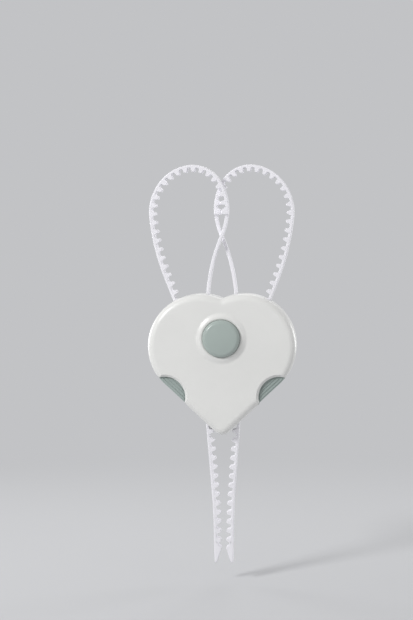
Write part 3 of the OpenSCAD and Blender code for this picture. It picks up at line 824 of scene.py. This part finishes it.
class LOCK_OT_centre_button(Operator):
    """Makes the domed centre button with its skirt, flange and plate bosses"""
    bl_idname = "safety_lock.centre_button"
    bl_label = "Centre button"

    def execute(self, context):
        b = context.scene.lock_buttons
        shoulder = b.cap_radius - b.cap_round

        def dome_depth(radius):
            return b.cap_top - (b.dome_radius - math.sqrt(b.dome_radius ** 2 - radius ** 2))

        radii = [shoulder * i / DOME_STEPS for i in range(DOME_STEPS + 1)]
        profile = [(radius, dome_depth(radius)) for radius in radii]
        base = dome_depth(shoulder) - b.cap_round
        profile += [(shoulder + b.cap_round * math.cos(turn), base + b.cap_round * math.sin(turn))
                    for turn in reversed(quarter(RIM_STEPS)[:-1])]
        inside = in_metres(CAP_INSIDE)
        profile += [(b.cap_radius, inside[0][1])] + inside
        cap = lathe("centre_button" + DRESSED, (0, 0), profile, FINE_STEPS)
        boss = in_metres(PLATE_BOSS)
        join(cap, [lathe("plate_boss", (0, z * MM), boss, BOSS_STEPS) for z in PLATE_BOSS_HEIGHTS])
        cap = soften(cap, CAP_EDGE * MM, CAP_EDGE_ANGLE)
        dress(cap, "centre_release", "button_grey", "centre_button")
        return {"FINISHED"}


class LOCK_OT_side_buttons(Operator):
    """Makes the two side buttons with their arms and cross bars"""
    bl_idname = "safety_lock.side_buttons"
    bl_label = "Side buttons"

    def execute(self, context):
        for side in ("left", "right"):
            node = side + "_side_button"
            dress(soft_copy(node, PAD_EDGE * MM), side + "_release", "side_grey", node)
        return {"FINISHED"}


# Straps

def tooth_form():
    """One tooth of unit length, width and height, open below, where it runs into the spine."""
    bm = bmesh.new()
    rings = []
    for side, full in TOOTH_SIDES:
        pull, lift = SIDE_LENGTH + (1 - SIDE_LENGTH) * full, SIDE_HEIGHT + (1 - SIDE_HEIGHT) * full
        rings.append([bm.verts.new(((along - 0.5) * pull, side, height * (lift if height > 0 else 1)))
                      for along, height in TOOTH_LINE])
    bridge(bm, rings, closed=False)
    for ring in (rings[0], rings[-1]):
        bm.faces.new(ring)
    return built(bm, "tooth_form")


def strap_measures(sizes):
    """Sizes of a strap in millimetres."""
    return [value / MM for value in (sizes.spine, sizes.tooth_height, sizes.width, sizes.cord,
                                     sizes.cord_width, sizes.pitch)]


def section(thick, wide, corner):
    """Rounded cross section: across the strap from the outer face inwards, and its width."""
    points = []
    for cx, cy, start in ((thick - corner, wide / 2 - corner, 0), (corner, wide / 2 - corner, 90),
                          (corner, -wide / 2 + corner, 180), (thick - corner, -wide / 2 + corner, 270)):
        for i in range(4):
            turn = math.radians(start + 30 * i)
            points.append((cx + corner * math.cos(turn), cy + corner * math.sin(turn)))
    return points


def sweep(name, start, legs, plan, hand, corner):
    """Strip along a route, from rows of distance, thickness, width and shift from the outer face, in mm."""
    bm = bmesh.new()
    rings = []
    for along, thick, wide, shift in plan:
        ring = []
        for across, b in section(thick, wide, min(corner, thick * 0.45, wide * 0.45)):
            x, z = beside(start, legs, along, hand * (across + shift))
            ring.append(bm.verts.new((x * MM, -(STRAP_DEPTH + b) * MM, z * MM)))
        rings.append(ring)
    bridge(bm, rings)
    bm.faces.new(rings[0])
    bm.faces.new(rings[-1])
    return built(bm, name)


def tooth_points(start, legs, first, count, pitch, spine, hand):
    """Points on the spine under each tooth, turned so that a tooth's length follows the route."""
    places, turns = [], []
    for i in range(count):
        along = first + (i + 0.5) * pitch
        x, z = beside(start, legs, along, hand * spine)
        places.append((x * MM, -STRAP_DEPTH * MM, z * MM))
        way = math.radians(spot(start, legs, along)[2])
        long_axis = Vector((math.cos(way), 0, math.sin(way)))
        up_axis = hand * Vector((math.sin(way), 0, -math.cos(way)))
        side_axis = up_axis.cross(long_axis)
        turns.append(Matrix((long_axis, side_axis, up_axis)).transposed().to_euler("XYZ"))
    return points_object("teeth", places, turns)


def plain_run(end):
    """Distances of the even sections, from the split to near the end of a strap's plain run."""
    return [SPLIT_GAP] + [SECTION_STEP * i for i in range(1, int(end / SECTION_STEP) + 1)]


def loop_plan(sizes):
    """Rows of the loop's sections: toothed run, block, plain cord. Then its first gap and count of teeth."""
    spine, tall, width, cord, cord_width, pitch = strap_measures(sizes)
    full, first = spine + tall, first_gap(pitch)
    block = first + LOOP_TEETH * pitch
    end = block + BLOCK_LENGTH
    rest = LOOP_LENGTH - end
    rows = [(along, spine, width, 0) for along in plain_run(block)]
    rows += [(block, spine, width, 0), (block + 0.9, spine + 0.55 * tall, width, 0),
             (block + 1.7, full - 0.25, width, 0), (block + 2.5, full, width, 0), (end - 0.5, full, width, 0),
             (end - 0.15, full - 0.25, width - 0.4, 0), (end, full - 0.8, width - 1.0, 0),
             (end + 0.02, cord, cord_width, 0)]
    rows += [(end + rest * i / CORD_SECTIONS, cord, cord_width, 0) for i in range(1, CORD_SECTIONS + 1)]
    return rows, first, LOOP_TEETH


def tail_plan(sizes):
    """Rows of the tail's sections: toothed run, tapered end. Then its first gap and count of teeth."""
    spine, tall, width, cord, cord_width, pitch = strap_measures(sizes)
    full, count = spine + tall, int((TAIL_LENGTH - TAIL_TAPER) // pitch)
    last = count * pitch
    taper = TAIL_LENGTH - last - TAIL_RISE
    rows = [(along, spine, width, 0) for along in plain_run(last)]
    rows += [(last + 0.75, spine + 0.5 * tall, width, 0), (last + 1.4, full - 0.2, width, 0),
             (last + TAIL_RISE, full, width, 0)]
    for i in range(1, SMALL_STEPS + 1):
        along = (taper - TAIL_ROUND) * i / SMALL_STEPS
        rows.append((last + TAIL_RISE + along, full - (full - TAIL_TIP) * along / taper, width, 0))
    rows += [(TAIL_LENGTH - 0.2, TAIL_TIP - 0.1, width - 0.5, 0.1),
             (TAIL_LENGTH, TAIL_TIP - 0.5, width - 1.2, 0.25)]
    return rows, 0.0, count


def toothed_strip(node, route, plan, hand, sizes, tree, form):
    """Strip along a route with its teeth on its right, or on its left where hand is -1."""
    rows, first, count = plan
    strip = sweep(node + DRESSED, *route, rows, hand, sizes.corner / MM)
    teeth = tooth_points(*route, first, count, sizes.pitch / MM, sizes.spine / MM, hand)
    grow(teeth, tree, finish_of("strap_white"), form, Length=sizes.pitch, Width=sizes.width,
         Height=sizes.tooth_height)
    return join(strip, [teeth])


class LOCK_OT_straps(Operator):
    """Makes the toothed straps: two loops and two tails"""
    bl_idname = "safety_lock.straps"
    bl_label = "Straps"

    def execute(self, context):
        sizes = context.scene.lock_straps
        form, tree = tooth_form(), repeat_tree()
        anchor, = in_metres([beside(*LOOP_ROUTE, LOOP_LENGTH, sizes.cord / MM / 2)])
        for side, lean in (("left", -1), ("right", 1)):
            node = side + "_strap_loop"
            loop = toothed_strip(node, LOOP_ROUTE, loop_plan(sizes), 1, sizes, tree, form)
            join(loop, [lathe("eyelet", anchor, in_metres(EYELET))])
            loop.data.transform(loop_turn(sizes, lean))
            dress(soften(handed(loop, side)), "housing", "strap_white", node)
        for side in ("left", "right"):
            node = side + "_strap_tail"
            tail = toothed_strip(node, TAIL_ROUTE, tail_plan(sizes), -1, sizes, tree, form)
            dress(soften(handed(tail, side)), side + "_strap_end", "strap_white", node)
        bpy.data.objects.remove(form)
        return {"FINISHED"}


class LOCK_OT_fasteners(Operator):
    """Makes the cover screws and the springs, and finishes the pins"""
    bl_idname = "safety_lock.fasteners"
    bl_label = "Screws, pins and springs"

    def execute(self, context):
        steel, form = finish_of("steel"), screw_form()
        points = points_object("cover_screws" + DRESSED,
                               [(x * MM, -SCREW_SINK * MM, z * MM) for x, z in SCREW_PLACES],
                               [Euler((0, math.radians(turn), 0)) for turn in SCREW_TURNS])
        screws = grow(points, repeat_tree(), steel, form)
        bpy.data.objects.remove(form)
        dress(soften(screws), "housing", "steel", "cover_screws")
        coil = coil_tree()
        for node, coils, radius, gauge, length, place, turn, joint, seat in SPRINGS:
            spring = new_object(node + DRESSED, bpy.data.meshes.new(node))
            grow(spring, coil, steel, Coils=coils, Radius=radius * MM, Wire=gauge * MM, Length=length * MM)
            turned = Euler([math.radians(t) for t in turn]).to_matrix().to_4x4()
            spring.data.transform(Matrix.Translation(Vector(place) * MM) @ turned)
            spring = dress(soften(spring), "housing", "steel", node)
            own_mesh(spring)
        for node in STEEL_NODES:
            paint_node(node, steel)
        return {"FINISHED"}


class LOCK_OT_catches(Operator):
    """Makes the catch plate and finishes the pawls"""
    bl_idname = "safety_lock.catches"
    bl_label = "Catch plate and pawls"

    def execute(self, context):
        dress(soft_copy("catch_plate", PLATE_EDGE * MM), "centre_release", "inner_acetal", "catch_plate")
        for node in ("left_pawl", "right_pawl"):
            paint_node(node, finish_of("inner_acetal"))
        return {"FINISHED"}


# Stage

def area_light(name, place, aim, width, watts):
    data = bpy.data.lights.new(name, "AREA")
    data.shape = "DISK"
    data.size = width
    data.energy = watts
    lamp = new_object(name, data)
    lamp.location = place
    lamp.rotation_euler = (Vector(aim) - Vector(place)).to_track_quat("-Z", "Y").to_euler()


def seen_rays(tree):
    """Value of 1 for what the camera sees, in reflections and through clear matter too."""
    rays = tree.nodes.new("ShaderNodeLightPath")
    direct, seen = tree.nodes.new("ShaderNodeMath"), tree.nodes.new("ShaderNodeMath")
    direct.operation = seen.operation = "MAXIMUM"
    wire(tree, (rays, "Is Camera Ray", direct, 0), (rays, "Is Glossy Ray", direct, 1),
         (direct, "Value", seen, 0), (rays, "Is Transmission Ray", seen, 1))
    return seen


def mix_shaders(tree, factor, first, second, surface):
    """Mixes two shaders by the value of a node, and sends the mix to the surface of an output."""
    mix = tree.nodes.new("ShaderNodeMixShader")
    wire(tree, (factor, "Value", mix, "Fac"), (first, 0, mix, 1), (second, 0, mix, 2),
         (mix, "Shader", surface, "Surface"))


def pale_world(stage):
    """Even light, and a pale backdrop that the camera and reflections see."""
    world = bpy.data.worlds.new("studio")
    bpy.context.scene.world = world
    world.use_nodes = True
    tree = world.node_tree
    tree.nodes.clear()
    light = add(tree, "ShaderNodeBackground", Color=(1, 1, 1, 1), Strength=stage.sky)
    backdrop = add(tree, "ShaderNodeBackground", Color=(*stage.backdrop, 1))
    mix_shaders(tree, seen_rays(tree), light, backdrop, tree.nodes.new("ShaderNodeOutputWorld"))


def pale_floor(stage, height):
    """Round floor that takes the shadow and fades into the backdrop away from the object."""
    bm = bmesh.new()
    bmesh.ops.create_circle(bm, cap_ends=True, radius=FLOOR_RADIUS, segments=96)
    floor = built(bm, "floor")
    floor.location.z = height
    material = bpy.data.materials.new("floor")
    material.use_nodes = True
    tree = material.node_tree
    shader = tree.nodes["Principled BSDF"]
    shader.inputs["Base Color"].default_value = (*stage.backdrop, 1)
    shader.inputs["Roughness"].default_value = 0.9
    shader.inputs["Specular IOR Level"].default_value = 0.0
    far = add(tree, "ShaderNodeEmission", Color=(*stage.backdrop, 1))
    fade = add(tree, "ShaderNodeMapRange", From_Min=FLOOR_FADE[0], From_Max=FLOOR_FADE[1])
    fade.interpolation_type = "SMOOTHSTEP"
    place, away, scaled = (tree.nodes.new("ShaderNode" + kind) for kind in ("TexCoord", "VectorMath", "Math"))
    away.operation = "LENGTH"
    scaled.operation = "MULTIPLY"
    wire(tree, (place, "Object", away, 0), (away, "Value", fade, "Value"), (fade, "Result", scaled, 0),
         (seen_rays(tree), "Value", scaled, 1))
    mix_shaders(tree, scaled, shader, far, tree.nodes["Material Output"])
    floor.data.materials.append(material)


def aimed_camera(stage):
    """Camera that puts the middle of the button axis at its pixel in the frame."""
    data = bpy.data.cameras.new("camera")
    data.sensor_fit = "VERTICAL"
    data.angle = stage.lens_angle
    focal = FRAME_MIDDLE[1] / math.tan(stage.lens_angle / 2)
    azimuth, elevation, roll = stage.azimuth, stage.elevation, stage.roll
    level = math.cos(elevation)
    back = Vector((math.sin(azimuth) * level, -math.cos(azimuth) * level, math.sin(elevation)))
    right = (-back).cross(Vector((0, 0, 1))).normalized()
    up = right.cross(-back)
    right, up = math.cos(roll) * right + math.sin(roll) * up, math.cos(roll) * up - math.sin(roll) * right
    across = (AXIS_PIXEL[0] - FRAME_MIDDLE[0]) / focal * stage.distance
    above = (FRAME_MIDDLE[1] - AXIS_PIXEL[1]) / focal * stage.distance
    place = Vector((0, -STRAP_DEPTH * MM, 0)) + stage.distance * back - across * right - above * up
    camera = new_object("camera", data)
    camera.matrix_world = Matrix.Translation(place) @ Matrix((right, up, back)).transposed().to_4x4()
    bpy.context.scene.camera = camera


class LOCK_OT_stage(Operator):
    """Sets the floor, the lights and the camera"""
    bl_idname = "safety_lock.stage"
    bl_label = "Stage"

    def execute(self, context):
        stage = context.scene.lock_stage
        pale_world(stage)
        pale_floor(stage, CAD_BOX[0].z - (FEED_TRAVEL + FLOOR_GAP) * MM)
        watts = {"key": stage.key, "fill": stage.fill, "back": stage.fill * BACK_SHARE, "rim": stage.rim}
        for name, place, aim, width in LAMPS:
            area_light(name, place, aim, width, watts[name])
        aimed_camera(stage)
        context.scene.view_settings.view_transform = "Standard"
        return {"FINISHED"}


class LOCK_PT_panel(Panel):
    bl_idname = "LOCK_PT_panel"
    bl_label = "Safety lock"
    bl_space_type = "VIEW_3D"
    bl_region_type = "UI"
    bl_category = "Safety lock"

    def draw(self, context):
        for operator in STEPS:
            self.layout.operator(operator.bl_idname)
        for title in GROUPS:
            settings = getattr(context.scene, title)
            column = self.layout.column(heading=type(settings).__name__)
            for name in settings.bl_rna.properties.keys():
                if name not in {"rna_type", "name"}:
                    column.prop(settings, name)


GROUPS = {"lock_case": CaseSizes, "lock_buttons": ButtonSizes, "lock_straps": StrapSizes,
          "lock_colours": FinishColours, "lock_stage": StageSettings}
STEPS = (LOCK_OT_finishes, LOCK_OT_covers, LOCK_OT_centre_button, LOCK_OT_side_buttons, LOCK_OT_straps,
         LOCK_OT_fasteners, LOCK_OT_catches, LOCK_OT_stage)


def register():
    for group in GROUPS.values():
        bpy.utils.register_class(group)
    for name, group in GROUPS.items():
        setattr(bpy.types.Scene, name, PointerProperty(type=group))
    for operator in STEPS:
        bpy.utils.register_class(operator)
    bpy.utils.register_class(LOCK_PT_panel)


def unregister():
    bpy.utils.unregister_class(LOCK_PT_panel)
    for operator in reversed(STEPS):
        bpy.utils.unregister_class(operator)
    for name in GROUPS:
        delattr(bpy.types.Scene, name)
    for group in reversed(list(GROUPS.values())):
        bpy.utils.unregister_class(group)


def main():
    register()
    for operator in STEPS:
        area, step = operator.bl_idname.split(".")
        getattr(getattr(bpy.ops, area), step)()


if __name__ == "__main__":
    main()
